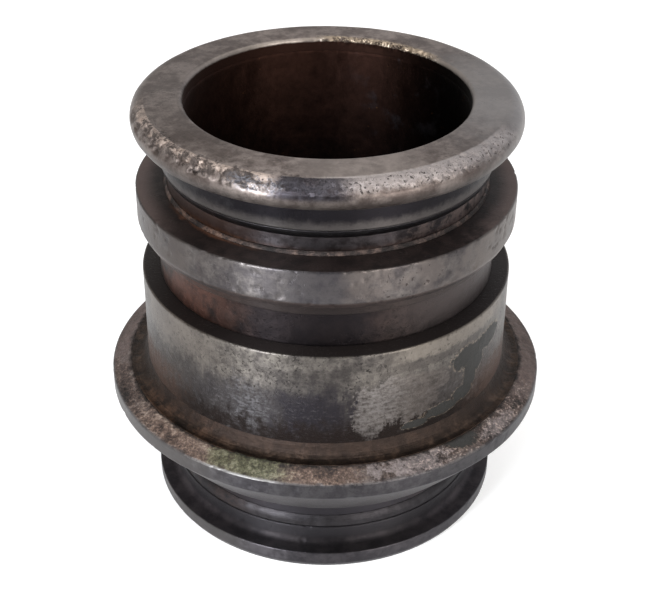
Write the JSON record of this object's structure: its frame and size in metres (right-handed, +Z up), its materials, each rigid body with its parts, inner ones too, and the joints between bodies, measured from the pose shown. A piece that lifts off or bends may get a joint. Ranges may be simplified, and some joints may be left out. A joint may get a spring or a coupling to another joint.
{
  "type": "pipe coupling",
  "caption": "Rigid pipe coupling with a bull-nosed lip, two clamp grooves, a plain barrel, a wide coned collar and a thin bottom flange, welded up on a straight pipe.",
  "frame": {"origin": "centre of the bottom face, on the pipe's axis", "axes": "+Z up the pipe, from the bottom flange to the lip; the coupling is round about Z"},
  "size_m": [0.127, 0.127, 0.1243],
  "materials": {
    "pipe_steel": "dark oxidised steel, brown in the bore",
    "lip_steel": "worn warm grey steel, battered on the edge",
    "barrel_steel": "satin worn steel with dark patches",
    "groove_steel": "dark brown oxide",
    "flange_steel": "pitted pinkish brown rust on top, smooth grey rim",
    "bottom_steel": "near black oxide with a grey rim",
    "weld_metal": "rusty weld bead"
  },
  "bodies": {
    "root": {"bore_pipe": "pipe_steel", "lip_ring": "lip_steel", "lip_weld": "weld_metal", "land_ring": "barrel_steel", "land_weld": "weld_metal", "land_collar": "groove_steel", "groove_spacer": "groove_steel", "barrel_sleeve": "barrel_steel", "flange_ring": "flange_steel", "barrel_weld": "weld_metal", "cone_weld": "weld_metal", "bottom_flange": "bottom_steel", "hub_weld": "weld_metal", "root_weld": "weld_metal"}
  },
  "joints": []
}
